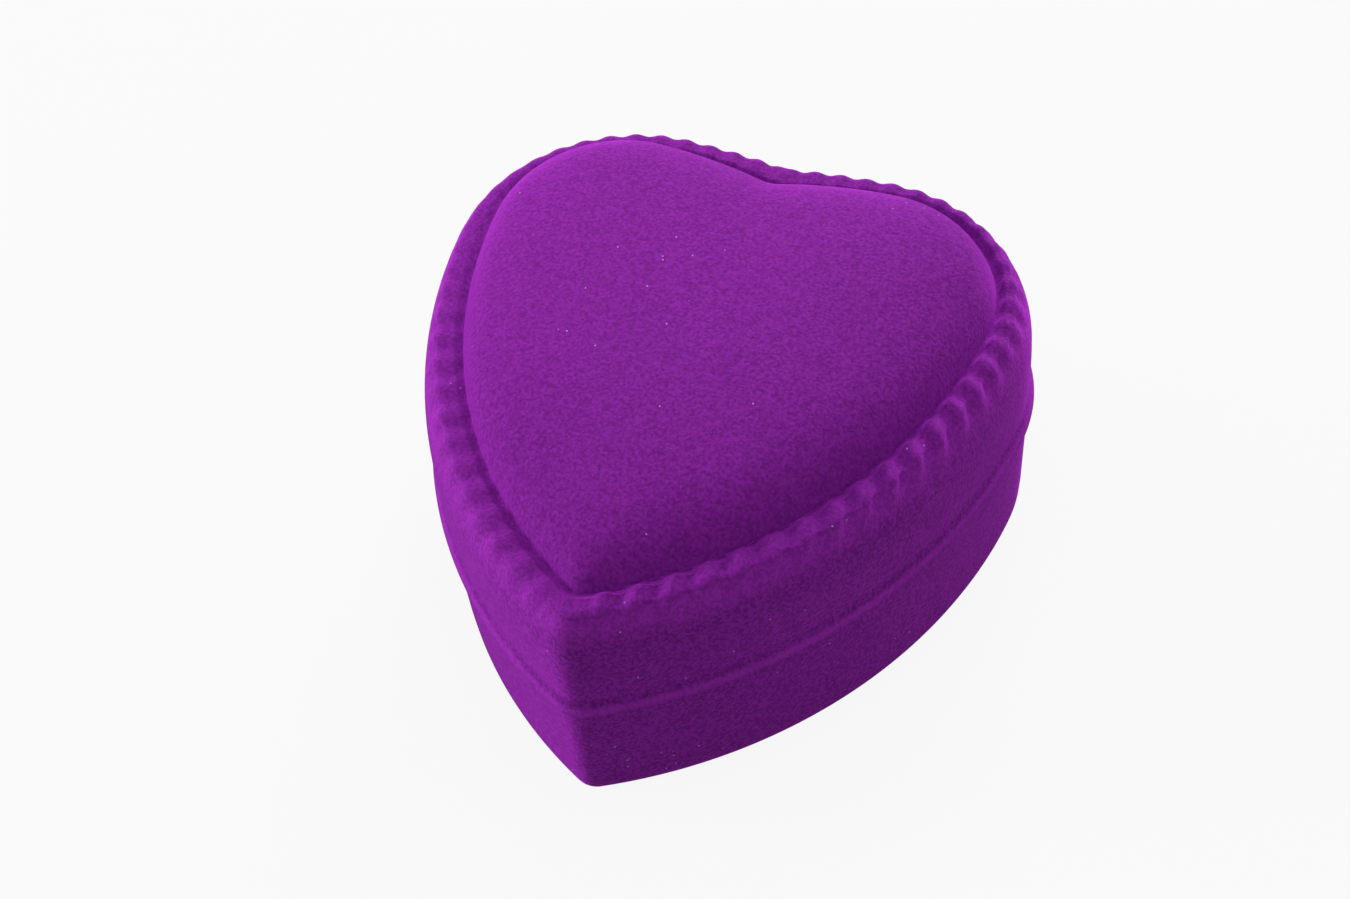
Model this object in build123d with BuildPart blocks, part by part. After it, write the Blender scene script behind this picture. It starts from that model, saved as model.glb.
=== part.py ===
"""Heart-shaped ring box: flocked plastic lid and tray, steel hinge, ring pads and satin lining.

The frame has +Z up, the tip of the heart towards -Y, and its origin under the middle of the box.
"""

import os
from math import atan2, cos, degrees, radians, sin, sqrt, tan

from build123d import *

# The heart outline of the lip, angles in degrees
heart_width = 56.0
cleft_radius = 10.0
cleft_angle = 8.5
rear_radius = 72.0
rear_angle = 7.0
lobe_angle = 95.0
flank_radius = 50.5
tip_radius = 3.3
least_tip_radius = 0.8

# The heart outline of the raised panel on the lid
panel_side_inset = 3.9
panel_rear_inset = 4.65
panel_cleft_radius = 2.2
panel_cleft_angle = 17.3
panel_rear_radius = 41.6
panel_rear_angle = 15.8
panel_lobe_angle = 95.0
panel_flank_ease = 2.2
panel_tip_radius = 1.6

# Tray
tray_height = 13.5
tray_rim_inset = 0.5
tray_draft_angle = 2.4
tray_wall = 1.8
tray_floor = 1.8
tray_bottom_radius = 2.2
tray_rim_radius = 0.3

# Lid
parting_gap = 0.2
lid_height = 12.7
lid_wall_inset = 0.3
lid_wall = 1.85
lid_draft_angle = 0.2
lid_ceiling = 1.0
shoulder_radius = 2.4
lip_height = 0.9
lip_upper_radius = 0.4
lip_lower_radius = 0.25

# Groove and raised panel
groove_width = 0.5
groove_depth = 1.2
groove_edge_radius = 0.4
panel_rise = 4.5
panel_crown_radius = 140.0
panel_edge_radius = 1.6

# Slanted flutes that part the ribs of the rope border
flutes_per_half = 20
flute_radius = 0.95
flute_depth = 0.5
flute_length = 7.0
flute_lean_angle = 58.0
flute_slant_angle = 48.0
flute_start = 2.4
flute_tip_margin = 4.0

# Hinge
hinge_width = 13.0
hinge_angle = 95.0
bevel_margin_angle = 5.0
leaf_thickness = 0.5
leaf_height = 6.4
leaf_corner_radius = 0.8
pin_radius = 0.5
pin_head_radius = 0.85
pin_head_thickness = 0.4
pin_clearance = 0.04
knuckle_count = 5
knuckle_gap = 0.2
notch_clearance = 0.25
seat_depth = 0.15
seat_bite = 0.9
rivet_radius = 0.6
rivet_head_radius = 1.1
rivet_head_thickness = 0.4
rivet_head_edge = 0.2
rivet_length = 1.1
rivet_clearance = 0.05
rivet_spacing = 8.0
rivet_offset = 4.4

# Card collar of the tray and its board
collar_thickness = 0.8
collar_height_over_rim = 1.6
collar_clearance = 0.1
board_thickness = 0.8
card_clearance = 0.1

# Ring pads
pad_clearance = 0.25
pad_crown_height = 9.6
pad_crown_radius = 150.0
pad_edge_radius = 2.2
pad_corner_radius = 3.0
pad_tip_radius = 3.0
pad_cover_thickness = 0.5
pad_slit = 1.0
pad_slit_y = 3.0
pad_relief_clearance = 0.3

# Satin lining of the lid
band_thickness = 0.6
band_height = 7.0
lid_pad_depth = 3.6
lid_pad_crown_radius = 260.0
lid_pad_edge_radius = 1.2
satin_thickness = 0.35

# How far every cutter runs past what it cuts
overrun = 2.0


class HeartForm:
    # Half a heart is a chain of tangent arcs: cleft, rear, lobe, flank and tip. An inset changes only radii.
    def __init__(self, width, cleft, cleft_angle, rear, rear_angle, lobe_angle, flank, tip, rear_y=None):
        self.cleft, self.rear, self.flank, self.tip = cleft, rear, flank, tip
        self.cleft_angle, self.rear_angle, self.lobe_angle = cleft_angle, rear_angle, lobe_angle
        rise = radians(cleft_angle)
        bend = radians(cleft_angle - rear_angle)
        reach = cleft * sin(rise) + rear * (sin(rise) - sin(bend))
        self.lobe = (width / 2 - reach) / (1 + sin(bend))
        lobe_y = cleft * (1 - cos(rise)) + rear * (cos(bend) - cos(rise)) - self.lobe * cos(bend)
        self.lobe_heading = cleft_angle - rear_angle - lobe_angle
        away = radians(self.lobe_heading)
        self.flank_x = width / 2 - self.lobe - (self.lobe - flank) * sin(away)
        flank_y = lobe_y + (self.lobe - flank) * cos(away)
        lowest = flank_y - sqrt((flank - tip) ** 2 - self.flank_x ** 2) - tip
        highest = lobe_y + self.lobe
        self.cleft_y = -(lowest + highest) / 2 if rear_y is None else rear_y - highest
        self.rear_y = highest + self.cleft_y
        self.tip_y = lowest + self.cleft_y

    def half(self, inset, least_tip):
        tip = max(self.tip - inset, least_tip)
        drop = sqrt((self.flank - inset - tip) ** 2 - self.flank_x ** 2)
        heading = degrees(atan2(self.flank_x, -drop))
        cleft = JernArc((0, self.cleft_y - inset), (-1, 0), self.cleft + inset, -self.cleft_angle)
        rear = JernArc(cleft @ 1, cleft % 1, self.rear - inset, self.rear_angle)
        lobe = JernArc(rear @ 1, rear % 1, self.lobe - inset, self.lobe_angle)
        flank = JernArc(lobe @ 1, lobe % 1, self.flank - inset, self.lobe_heading - heading)
        JernArc(flank @ 1, flank % 1, tip, 180 + heading)


def heart_face(form, height, inset=0, least_tip=least_tip_radius):
    with BuildSketch(Plane.XY.offset(height)) as face:
        with BuildLine():
            form.half(inset, least_tip)
            mirror(about=Plane.YZ)
        make_face()
    return face.sketch


def heart_band(form, height, inset, thickness):
    with BuildSketch(Plane.XY.offset(height)) as band:
        add(heart_face(form, 0, inset))
        add(heart_face(form, 0, inset + thickness), mode=Mode.SUBTRACT)
    return band.sketch


def crowned(face, depth, crown_height, crown_radius, edge_radius, way=1):
    # A cushion: the face raised to a spherical crown, with its edge rolled over.
    with BuildPart() as cushion:
        extrude(face, amount=way * (depth + overrun))
        with Locations((0, 0, crown_height - way * crown_radius)):
            Sphere(crown_radius, mode=Mode.INTERSECT)
        fillet(cushion.faces().sort_by(Axis.Z)[-1 if way > 0 else 0].edges(), edge_radius)
    return cushion.part


lip_form = HeartForm(heart_width, cleft_radius, cleft_angle, rear_radius, rear_angle, lobe_angle,
                     flank_radius, tip_radius)
panel_form = HeartForm(heart_width - 2 * panel_side_inset, panel_cleft_radius, panel_cleft_angle,
                       panel_rear_radius, panel_rear_angle, panel_lobe_angle,
                       flank_radius - panel_flank_ease, panel_tip_radius, lip_form.rear_y - panel_rear_inset)

# Heights and insets that several pieces share
lid_bottom = tray_height + parting_gap
rope_crest = lid_bottom + lid_height
groove_floor = rope_crest - groove_depth
ceiling = groove_floor - lid_ceiling
tray_inner_inset = tray_rim_inset + tray_wall
lid_inner_inset = lid_wall_inset + lid_wall
hinge_z = tray_height + parting_gap / 2
barrel_radius = pin_radius + pin_clearance + leaf_thickness
hinge_y = lip_form.rear_y - barrel_radius
seat_y = lip_form.cleft_y - max(tray_inner_inset, lid_inner_inset) - seat_depth
leaf_face_y = seat_y - leaf_thickness
relief_y = leaf_face_y - rivet_head_thickness - pad_relief_clearance
pin_length = hinge_width + 2 * pin_clearance
notch_width = pin_length + 2 * (pin_head_thickness + notch_clearance)
notch_height = 2 * (barrel_radius + notch_clearance)
relief_width = notch_width + 2 * notch_clearance
rear_depth = lip_form.rear_y - relief_y + overrun


def rear_relief(height, depth):
    # The space behind the pads, and between the ends of the bands, where the hinge leaves stand.
    with BuildPart() as relief:
        with Locations((0, relief_y + rear_depth / 2, height + depth / 2)):
            Box(relief_width, rear_depth, depth)
    return relief.part


# Cutter for the window in both rear walls that the barrel sits in
with BuildPart() as notch:
    with Locations((0, relief_y + rear_depth / 2, hinge_z)):
        Box(notch_width, rear_depth, notch_height)

# Cutter for the bevels along the back edges, which let the lid swing over
bevel_reach = lip_form.rear_y - hinge_y + overrun
bevel_drop = bevel_reach * tan(radians((hinge_angle + bevel_margin_angle) / 2))
with BuildPart() as bevel:
    with BuildSketch(Plane.YZ):
        with BuildLine():
            Polyline((hinge_y, hinge_z), (hinge_y + bevel_reach, hinge_z + bevel_drop),
                     (hinge_y + bevel_reach, hinge_z - bevel_drop), close=True)
        make_face()
    extrude(amount=heart_width / 2 + overrun, both=True)


def rivet_places(up):
    # Two places on the leaf's inner face, each with its axis towards the seat.
    height = hinge_z + up * rivet_offset
    return [Plane((x, leaf_face_y, height), x_dir=(1, 0, 0), z_dir=(0, 1, 0)).location
            for x in (-rivet_spacing / 2, rivet_spacing / 2)]


def hinge_seat(up):
    # Flat pad on the inside of the rear wall, with blind holes for the rivets.
    foot = hinge_z + up * notch_height / 2
    span = leaf_height - notch_height / 2 + rivet_head_radius
    with BuildPart() as seat:
        with Locations((0, seat_y + seat_bite / 2, foot + up * span / 2)):
            Box(hinge_width, seat_bite, span)
    return seat.part


def rivet_bores(up):
    with BuildPart() as bores:
        with Locations(*rivet_places(up)):
            Cylinder(rivet_radius + rivet_clearance, leaf_thickness + rivet_length + rivet_clearance,
                     align=(Align.CENTER, Align.CENTER, Align.MIN))
    return bores.part


# Tray
tray_foot_inset = tray_rim_inset + tray_height * tan(radians(tray_draft_angle))
with BuildPart() as base_shell:
    extrude(heart_face(lip_form, 0, tray_foot_inset), amount=tray_height, taper=-tray_draft_angle)
    fillet(base_shell.faces().sort_by(Axis.Z)[0].edges(), tray_bottom_radius)
    fillet(base_shell.faces().sort_by(Axis.Z)[-1].edges(), tray_rim_radius)
    extrude(heart_face(lip_form, tray_floor, tray_inner_inset), amount=tray_height, mode=Mode.SUBTRACT)
    add(hinge_seat(-1))
    add(rivet_bores(-1), mode=Mode.SUBTRACT)
    add(notch.part, mode=Mode.SUBTRACT)
    add(bevel.part, mode=Mode.SUBTRACT)

# Raised heart panel of the lid, a crowned pillow with a rolled edge
panel_foot = groove_floor - lid_ceiling / 2
panel_top = rope_crest + panel_rise
panel = crowned(heart_face(panel_form, panel_foot), panel_top - panel_foot, panel_top,
                panel_crown_radius, panel_edge_radius)

# Thin lip round the lid's lower edge
with BuildPart() as lip:
    extrude(heart_face(lip_form, lid_bottom), amount=lip_height)
    fillet(lip.faces().sort_by(Axis.Z)[-1].edges(), lip_upper_radius)
    fillet(lip.faces().sort_by(Axis.Z)[0].edges(), lip_lower_radius)

# Flutes that run down and towards the tip across the shoulder, mirrored at the middle
core_inset = lid_wall_inset + lid_height * tan(radians(lid_draft_angle)) + shoulder_radius
with BuildLine() as rope_path:
    lip_form.half(core_inset, least_tip_radius)
rope_line = rope_path.wires()[0]
rope_run = rope_line.length - flute_start - flute_tip_margin
flute_places = []
for flute in range(flutes_per_half):
    along = (flute_start + rope_run * flute / (flutes_per_half - 1)) / rope_line.length
    ahead = rope_line % along
    outward = Vector(ahead.Y, -ahead.X, 0)
    lean = radians(flute_lean_angle)
    slant = radians(flute_slant_angle)
    radial = outward * cos(lean) + Vector(0, 0, sin(lean))
    across = outward * sin(lean) - Vector(0, 0, cos(lean))
    core = Vector((rope_line @ along).X, (rope_line @ along).Y, rope_crest - shoulder_radius)
    middle = core + radial * (shoulder_radius + flute_radius - flute_depth)
    flute_places.append(Plane(middle, z_dir=across * cos(slant) + ahead * sin(slant)).location)
with BuildPart() as flutes:
    with Locations(*flute_places):
        Cylinder(flute_radius, flute_length)
    mirror(about=Plane.YZ)

# Lid
with BuildPart() as lid_shell:
    extrude(heart_face(lip_form, lid_bottom, lid_wall_inset), amount=lid_height, taper=lid_draft_angle)
    fillet(lid_shell.faces().sort_by(Axis.Z)[-1].edges(), shoulder_radius)
    extrude(heart_face(panel_form, rope_crest, -groove_width), amount=-groove_depth, mode=Mode.SUBTRACT)
    land = lid_shell.faces().sort_by(Axis.Z)[-1]
    fillet(land.inner_wires()[0].edges(), groove_edge_radius)
    add(flutes.part, mode=Mode.SUBTRACT)
    add(panel)
    add(lip.part)
    extrude(heart_face(lip_form, lid_bottom, lid_inner_inset), amount=ceiling - lid_bottom,
            mode=Mode.SUBTRACT)
    add(hinge_seat(1))
    add(rivet_bores(1), mode=Mode.SUBTRACT)
    add(notch.part, mode=Mode.SUBTRACT)
    add(bevel.part, mode=Mode.SUBTRACT)


def hinge_leaf(up, own):
    # A strip rolled round the pin at its own knuckles, led through the window and turned along the seat.
    pitch = (hinge_width + knuckle_gap) / knuckle_count
    tongue_length = hinge_y - leaf_face_y
    bore_radius = pin_radius + pin_clearance
    tongue_z = hinge_z + up * (bore_radius + leaf_thickness / 2)
    with BuildPart() as leaf:
        for knuckle in own:
            x = -hinge_width / 2 + pitch * knuckle + (pitch - knuckle_gap) / 2
            with BuildSketch(Plane.YZ.offset(x)):
                with Locations((hinge_y, hinge_z)):
                    Circle(barrel_radius)
                with Locations((hinge_y - tongue_length / 2, tongue_z)):
                    Rectangle(tongue_length, leaf_thickness)
            extrude(amount=(pitch - knuckle_gap) / 2, both=True)
        plate_height = leaf_height - bore_radius
        with BuildSketch(Plane.XZ.offset(-seat_y)):
            with Locations((0, hinge_z + up * (bore_radius + plate_height / 2))):
                plate = Rectangle(hinge_width, plate_height)
            outer = plate.vertices().sort_by(Axis.Z)[-2:] if up > 0 else plate.vertices().sort_by(Axis.Z)[:2]
            fillet(outer, leaf_corner_radius)
        extrude(amount=leaf_thickness)
        with Locations(Plane((0, hinge_y, hinge_z), z_dir=(1, 0, 0)).location):
            Cylinder(bore_radius, hinge_width + overrun, mode=Mode.SUBTRACT)
        add(rivet_bores(up), mode=Mode.SUBTRACT)
    return leaf.part


def rivet_pair(up):
    with BuildPart() as rivets:
        with Locations(*rivet_places(up)):
            Cylinder(rivet_radius, leaf_thickness + rivet_length,
                     align=(Align.CENTER, Align.CENTER, Align.MIN))
            Cylinder(rivet_head_radius, rivet_head_thickness,
                     align=(Align.CENTER, Align.CENTER, Align.MAX))
        rims = rivets.faces().filter_by(Axis.Y).group_by(Axis.Y)[0].edges()
        chamfer(rims, rivet_head_edge)
    return rivets.part


# Steel hinge
base_hinge_leaf = hinge_leaf(-1, range(0, knuckle_count, 2))
lid_hinge_leaf = hinge_leaf(1, range(1, knuckle_count, 2))
base_hinge_rivets = rivet_pair(-1)
lid_hinge_rivets = rivet_pair(1)
with BuildPart() as hinge_pin:
    with Locations(Plane((0, hinge_y, hinge_z), z_dir=(1, 0, 0)).location):
        Cylinder(pin_radius, pin_length)
        head_place = (pin_length + pin_head_thickness) / 2
        with Locations((0, 0, head_place), (0, 0, -head_place)):
            Cylinder(pin_head_radius, pin_head_thickness)

# Card collar that centres the lid, open at the hinge
collar_inset = tray_inner_inset + collar_clearance
collar_height = tray_height + collar_height_over_rim - tray_floor
with BuildPart() as base_collar:
    extrude(heart_band(lip_form, tray_floor, collar_inset, collar_thickness), amount=collar_height)
    add(rear_relief(tray_floor, collar_height), mode=Mode.SUBTRACT)

# Card under the ring pads
board_inset = collar_inset + collar_thickness + card_clearance
with BuildPart() as pad_board:
    extrude(heart_face(lip_form, tray_floor, board_inset), amount=board_thickness)
    add(rear_relief(tray_floor, board_thickness), mode=Mode.SUBTRACT)


def pad_face(height, inset, side, shrink):
    # The front or rear part of the heart, on one side of the ring slit, with rounded corners.
    reach = lip_form.rear_y - lip_form.tip_y
    edge = pad_slit_y + side * (pad_slit / 2 + shrink)
    with BuildSketch(Plane.XY.offset(height)) as face:
        add(heart_face(lip_form, 0, inset, pad_tip_radius - shrink))
        with Locations((0, edge + side * reach / 2)):
            Rectangle(heart_width, reach, mode=Mode.INTERSECT)
        if side > 0:
            with Locations((0, relief_y - shrink + rear_depth / 2)):
                Rectangle(heart_width, rear_depth, mode=Mode.SUBTRACT)
            fillet(face.vertices().group_by(Axis.Y)[-1], pad_corner_radius - shrink)
        fillet(face.vertices().group_by(Axis.Y)[0 if side > 0 else -1], pad_corner_radius - shrink)
    return face.sketch


# Ring pads: a foam core under a velvet cover, in front of the slit and behind it
pad_foot = tray_floor + board_thickness
pad_inset = collar_inset + collar_thickness + pad_clearance
pad_pieces = {}
for pad_name, side in (("front", -1), ("rear", 1)):
    skin = crowned(pad_face(pad_foot, pad_inset, side, 0), pad_crown_height, pad_foot + pad_crown_height,
                   pad_crown_radius, pad_edge_radius)
    core = crowned(pad_face(pad_foot, pad_inset + pad_cover_thickness, side, pad_cover_thickness),
                   pad_crown_height, pad_foot + pad_crown_height - pad_cover_thickness,
                   pad_crown_radius - pad_cover_thickness, pad_edge_radius - pad_cover_thickness)
    with BuildPart() as cover:
        add(skin)
        add(core, mode=Mode.SUBTRACT)
    pad_pieces[pad_name + "_pad_cover"] = cover.part
    pad_pieces[pad_name + "_pad_foam"] = core

# Satin-covered band round the inside of the lid, open at the hinge
band_inset = lid_inner_inset + card_clearance
with BuildPart() as lid_lining_band:
    extrude(heart_band(lip_form, ceiling, band_inset, band_thickness), amount=-band_height)
    add(rear_relief(ceiling - band_height, band_height), mode=Mode.SUBTRACT)


def lid_pad_face(inset, shrink):
    with BuildSketch(Plane.XY.offset(ceiling)) as face:
        add(heart_face(lip_form, 0, inset + shrink, pad_tip_radius - shrink))
        with Locations((0, relief_y - shrink + rear_depth / 2)):
            Rectangle(heart_width, rear_depth, mode=Mode.SUBTRACT)
        fillet(face.vertices().group_by(Axis.Y)[-1], pad_corner_radius - shrink)
    return face.sketch


# Padded satin heart under the lid's ceiling: board, wadding and cover
lid_pad_inset = band_inset + band_thickness + pad_clearance
lid_pad_crown = ceiling - lid_pad_depth
with BuildPart() as lid_pad_board:
    extrude(lid_pad_face(lid_pad_inset, satin_thickness), amount=-board_thickness)
lid_pad_skin = crowned(lid_pad_face(lid_pad_inset, 0), lid_pad_depth, lid_pad_crown, lid_pad_crown_radius,
                       lid_pad_edge_radius, way=-1)
lid_pad_fill = crowned(lid_pad_face(lid_pad_inset, satin_thickness), lid_pad_depth,
                       lid_pad_crown + satin_thickness, lid_pad_crown_radius - satin_thickness,
                       lid_pad_edge_radius - satin_thickness, way=-1)
with BuildPart() as lid_pad_satin:
    add(lid_pad_skin)
    add(lid_pad_fill, mode=Mode.SUBTRACT)
with BuildPart() as lid_pad_wadding:
    add(lid_pad_fill)
    add(lid_pad_board.part, mode=Mode.SUBTRACT)

pieces = {
    "base_shell": base_shell.part,
    "base_collar": base_collar.part,
    "pad_board": pad_board.part,
    **pad_pieces,
    "base_hinge_leaf": base_hinge_leaf,
    "base_hinge_rivets": base_hinge_rivets,
    "hinge_pin": hinge_pin.part,
    "lid_shell": lid_shell.part,
    "lid_lining_band": lid_lining_band.part,
    "lid_pad_board": lid_pad_board.part,
    "lid_pad_wadding": lid_pad_wadding.part,
    "lid_pad_satin": lid_pad_satin.part,
    "lid_hinge_leaf": lid_hinge_leaf,
    "lid_hinge_rivets": lid_hinge_rivets,
}
os.makedirs("parts", exist_ok=True)
for name, piece in pieces.items():
    piece.label = name
    export_step(piece, f"parts/{name}.step")
    box = piece.bounding_box()
    size = box.size
    print(f"{name}: {len(piece.solids())} solid(s), {size.X:.2f} x {size.Y:.2f} x {size.Z:.2f} mm")
print(f"lid_hinge axis: y {hinge_y:.3f} z {hinge_z:.3f}")
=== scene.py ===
from math import atan2, cos, degrees, exp, pi, radians, sin, sqrt, tan

import bmesh
import bpy
import numpy as np
from mathutils import Matrix, Vector


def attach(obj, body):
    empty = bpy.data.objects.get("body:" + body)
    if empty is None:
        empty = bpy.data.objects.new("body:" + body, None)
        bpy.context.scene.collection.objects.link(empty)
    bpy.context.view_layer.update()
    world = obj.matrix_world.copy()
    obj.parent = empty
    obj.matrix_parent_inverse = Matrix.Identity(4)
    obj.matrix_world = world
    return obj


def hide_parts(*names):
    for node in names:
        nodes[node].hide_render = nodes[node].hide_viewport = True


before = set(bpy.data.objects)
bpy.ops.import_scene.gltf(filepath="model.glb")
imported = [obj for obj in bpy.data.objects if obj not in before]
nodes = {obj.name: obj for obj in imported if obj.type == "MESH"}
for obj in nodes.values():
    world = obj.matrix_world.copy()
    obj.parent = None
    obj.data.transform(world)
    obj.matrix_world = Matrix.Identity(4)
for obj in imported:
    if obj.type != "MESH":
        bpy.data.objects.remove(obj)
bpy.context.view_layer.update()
scene = bpy.context.scene
print("frame: loaded", len(nodes), "CAD nodes")


# Shader and geometry node maths

class Wire:
    # One output socket. Sums with numbers or other outputs add the Math nodes they need.
    def __init__(self, tree, socket=None):
        self.tree = tree
        self.socket = socket

    def node(self, kind, settings, sockets, output=0):
        made = self.tree.nodes.new(kind)
        for name, value in settings.items():
            setattr(made, name, value)
        for name, value in sockets.items():
            if isinstance(value, Wire):
                self.tree.links.new(value.socket, made.inputs[name])
            else:
                made.inputs[name].default_value = value
        return Wire(self.tree, made.outputs[output])

    def math(self, operation, first, second=0.0):
        return self.node("ShaderNodeMath", {"operation": operation}, {0: first, 1: second})

    def __add__(self, other):
        return self.math("ADD", self, other)

    def __sub__(self, other):
        return self.math("SUBTRACT", self, other)

    def __rsub__(self, other):
        return self.math("SUBTRACT", other, self)

    def __mul__(self, other):
        return self.math("MULTIPLY", self, other)

    def __pow__(self, other):
        return self.math("POWER", self, other)

    def __lt__(self, other):
        return self.math("LESS_THAN", self, other)

    __radd__ = __add__
    __rmul__ = __mul__


def linear(red, green, blue):
    # A screen colour from 0 to 255, taken off the sRGB curve to the linear colour that a socket takes.
    def one(value):
        value /= 255
        return value / 12.92 if value <= 0.04045 else ((value + 0.055) / 1.055) ** 2.4
    return one(red), one(green), one(blue), 1.0


def newFinish(name):
    finish = bpy.data.materials.new(name)
    finish.use_nodes = True
    wire = Wire(finish.node_tree)
    place = wire.node("ShaderNodeTexCoord", {}, {}, "Object")
    return finish, wire, finish.node_tree.nodes["Principled BSDF"], place


def axis(wire, place, name):
    return wire.node("ShaderNodeSeparateXYZ", {}, {"Vector": place}, name)


def noise(wire, place, scale, detail, roughness):
    sockets = {"Vector": place, "Scale": scale, "Detail": detail, "Roughness": roughness}
    return wire.node("ShaderNodeTexNoise", {"noise_dimensions": "3D"}, sockets, "Fac")


def mixColour(wire, factor, first, second):
    # A Mix node's colours are its inputs 6 and 7, and their mix is its output 2.
    return wire.node("ShaderNodeMix", {"data_type": "RGBA"}, {0: factor, 6: first, 7: second}, 2)


def spread(wire, value, low, high):
    # Stretches the part of a value between low and high over 0 to 1.
    return wire.node("ShaderNodeMapRange", {"interpolation_type": "SMOOTHSTEP"},
                     {"Value": value, "From Min": low, "From Max": high})


def bump(wire, height, look):
    sockets = {"Strength": look["bumpStrength"], "Distance": look["bumpDistance"], "Height": height}
    return wire.node("ShaderNodeBump", {}, sockets, "Normal")


def feed(wire, surface, colour, roughness, normal):
    for name, value in (("Base Color", colour), ("Roughness", roughness), ("Normal", normal)):
        wire.tree.links.new(value.socket, surface.inputs[name])


def setCloth(surface, look):
    for name, key in (("Specular IOR Level", "specular"), ("Sheen Weight", "sheen"),
                      ("Sheen Roughness", "sheenRoughness"), ("Sheen Tint", "sheenTint")):
        surface.inputs[name].default_value = look[key]


# Flock and velvet: short upright pile with a grain, brushed patches and a few flecks of lint

# A noise is its scale, detail and roughness, and a painted highlight band its height, reach and share
pileBasics = dict(grainShare=0.72, curlShare=0.21, patchShare=0.07, pileLow=0.34, pileHigh=0.66,
                  lintFrom=0.52, lintTo=0.72, lintCover=0.75, roughest=0.98, roughFall=0.16,
                  specular=0.12, bumpGrain=0.9, bumpCurl=0.2, bumpStrength=0.6)
# Below wallTop the shell flock gets painted shade in its grain
shellFlock = dict(pileBasics, deep=linear(101, 17, 118), light=linear(131, 29, 153),
                  lint=linear(226, 190, 232), grain=(3000.0, 3.0, 0.65), curl=(1300.0, 2.0, 0.6),
                  patch=(110.0, 3.0, 0.55), lintScale=1150.0, lintSize=0.08, lintShare=0.65, sheen=0.9,
                  sheenRoughness=0.42, sheenTint=linear(214, 62, 240), bumpDistance=0.0002,
                  wallTop=0.0272, wallSpan=0.003, wallGrainShade=0.09)
# The lid's flock gets painted highlights: lighter bands along the lip and the rope shoulder
lidFlock = dict(shellFlock, paintedHighlight=linear(160, 46, 182), lipHighlight=(0.0141, 0.0006, 0.6),
                shoulderHighlight=(0.0246, 0.0024, 0.32))
padVelvet = dict(pileBasics, deep=linear(74, 12, 92), light=linear(116, 26, 138),
                 lint=linear(150, 60, 170), grain=(2900.0, 3.0, 0.65), curl=(1300.0, 2.0, 0.6),
                 patch=(160.0, 3.0, 0.55), lintScale=520.0, lintSize=0.03, lintShare=0.2, sheen=0.8,
                 sheenRoughness=0.45, sheenTint=linear(184, 74, 206), bumpDistance=0.00018)


def pileFinish(name, look):
    finish, wire, surface, place = newFinish(name)
    grain, curl, patch = (noise(wire, place, *look[layer]) for layer in ("grain", "curl", "patch"))
    low, high = look["pileLow"], look["pileHigh"]
    if "wallTop" in look:
        # Painted shade: below wallTop the grain's contrast is raised, so the walls show the darker pile
        # hollows that shade brings out there
        below = look["wallTop"] - axis(wire, place, "Z")
        paintedGrainShade = spread(wire, below, 0, look["wallSpan"]) * look["wallGrainShade"]
        low, high = paintedGrainShade + low, high - paintedGrainShade
    mixed = grain * look["grainShare"] + curl * look["curlShare"] + patch * look["patchShare"]
    pile = spread(wire, mixed, low, high)
    body = mixColour(wire, pile, look["deep"], look["light"])
    # Painted highlight: the pile colour is lightened in bands along the lip and the shoulder, where light
    # catches the edges
    if "paintedHighlight" in look:
        height = axis(wire, place, "Z")
        for level, reach, share in (look["lipHighlight"], look["shoulderHighlight"]):
            away = wire.math("ABSOLUTE", height - level) * (1 / reach)
            body = mixColour(wire, spread(wire, 1 - away, 0, 1) * share, body, look["paintedHighlight"])
    cells = {"Vector": place, "Scale": look["lintScale"]}
    nearest = wire.node("ShaderNodeTexVoronoi", {"feature": "F1"}, cells, "Distance")
    chance = wire.node("ShaderNodeTexVoronoi", {"feature": "F1"}, cells, "Color")
    chosen = wire.node("ShaderNodeSeparateColor", {}, {"Color": chance}, "Red")
    # Lint gathers where the pile is brushed up
    caught = spread(wire, patch, look["lintFrom"], look["lintTo"]) * look["lintShare"]
    fleck = (nearest < look["lintSize"]) * (chosen < caught)
    colour = mixColour(wire, fleck * look["lintCover"], body, look["lint"])
    raised = grain * look["bumpGrain"] + curl * look["bumpCurl"]
    feed(wire, surface, colour, look["roughest"] - pile * look["roughFall"], bump(wire, raised, look))
    setCloth(surface, look)
    return finish


# Ivory satin: close threads, a soft lustre and slight shading

satinLook = dict(deep=linear(233, 226, 215), light=linear(250, 246, 238), threadPitch=0.00016,
                 crossPitch=0.00064, wander=(600.0, 2.0, 0.5), threadWander=5.0, crossWander=9.0,
                 threadShare=0.35, crossShare=0.15, weaveLevel=0.5, patch=(90.0, 3.0, 0.5), patchShare=0.8,
                 weaveShare=0.2, toneLow=0.2, toneHigh=0.75, roughness=0.34, roughRange=0.12, specular=0.6,
                 sheen=0.25, sheenRoughness=0.3, sheenTint=linear(255, 250, 240), bumpStrength=0.22,
                 bumpDistance=0.00005)


def satinFinish(name, look):
    finish, wire, surface, place = newFinish(name)
    wander = noise(wire, place, *look["wander"])
    turns = [axis(wire, place, way) * (2 * pi / look[kind + "Pitch"]) + wander * look[kind + "Wander"]
             for way, kind in (("X", "thread"), ("Y", "cross"))]
    thread, cross = (wire.math("SINE", turn) for turn in turns)
    weave = thread * look["threadShare"] + cross * look["crossShare"] + look["weaveLevel"]
    patch = noise(wire, place, *look["patch"])
    shade = patch * look["patchShare"] + weave * look["weaveShare"]
    tone = spread(wire, shade, look["toneLow"], look["toneHigh"])
    colour = mixColour(wire, tone, look["deep"], look["light"])
    feed(wire, surface, colour, look["roughness"] + patch * look["roughRange"], bump(wire, weave, look))
    setCloth(surface, look)
    return finish


# Bright zinc-plated steel, rolled along X, with faint scratches and dulled spots

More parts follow.
